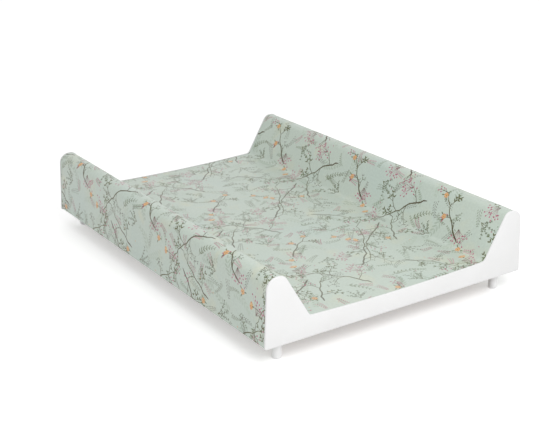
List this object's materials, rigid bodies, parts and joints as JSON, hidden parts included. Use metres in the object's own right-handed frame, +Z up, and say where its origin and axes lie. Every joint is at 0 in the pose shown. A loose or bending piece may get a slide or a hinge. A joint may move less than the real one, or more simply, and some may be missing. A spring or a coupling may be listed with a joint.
{
  "type": "changing mat",
  "caption": "Stiffened changing mat with profiled white end panels, raised padded sides and a printed wipe-clean cover, held across a cot's rails by corner pegs.",
  "frame": {"origin": "middle of the mat's plan at the level of the peg tips", "axes": "+X across the mat to the user's right, +Y along the mat away from the near end panel, +Z up"},
  "size_m": [0.4998, 0.7, 0.1385],
  "materials": {
    "white_board": "satin white lacquer on fibreboard",
    "printed_film": "satin printed film",
    "hardboard": "smooth brown hardboard",
    "softwood": "planed softwood",
    "foam": "open-cell foam",
    "white_plastic": "moulded white",
    "beech": "turned beech",
    "zinc_steel": "zinc plated"
  },
  "bodies": {
    "root": {"base_board": "hardboard", "base_staple_far_1": "zinc_steel", "base_staple_far_2": "zinc_steel", "base_staple_far_3": "zinc_steel", "base_staple_far_4": "zinc_steel", "base_staple_near_1": "zinc_steel", "base_staple_near_2": "zinc_steel", "base_staple_near_3": "zinc_steel", "base_staple_near_4": "zinc_steel", "batten_far": "softwood", "batten_near": "softwood", "bolster_foam_left": "foam", "bolster_foam_right": "foam", "cover": "printed_film", "end_panel_far": "white_board", "end_panel_near": "white_board", "floor_foam": "foam", "hem_staple_left_1": "zinc_steel", "hem_staple_left_2": "zinc_steel", "hem_staple_left_3": "zinc_steel", "hem_staple_left_4": "zinc_steel", "hem_staple_left_5": "zinc_steel", "hem_staple_left_6": "zinc_steel", "hem_staple_left_7": "zinc_steel", "hem_staple_left_8": "zinc_steel", "hem_staple_right_1": "zinc_steel", "hem_staple_right_2": "zinc_steel", "hem_staple_right_3": "zinc_steel", "hem_staple_right_4": "zinc_steel", "hem_staple_right_5": "zinc_steel", "hem_staple_right_6": "zinc_steel", "hem_staple_right_7": "zinc_steel", "hem_staple_right_8": "zinc_steel", "panel_dowel_far_1": "beech", "panel_dowel_far_2": "beech", "panel_dowel_far_3": "beech", "panel_dowel_near_1": "beech", "panel_dowel_near_2": "beech", "panel_dowel_near_3": "beech", "peg_far_left": "white_plastic", "peg_far_right": "white_plastic", "peg_near_left": "white_plastic", "peg_near_right": "white_plastic", "peg_screw_far_left": "zinc_steel", "peg_screw_far_right": "zinc_steel", "peg_screw_near_left": "zinc_steel", "peg_screw_near_right": "zinc_steel", "side_board_left": "hardboard", "side_board_right": "hardboard"}
  },
  "joints": []
}
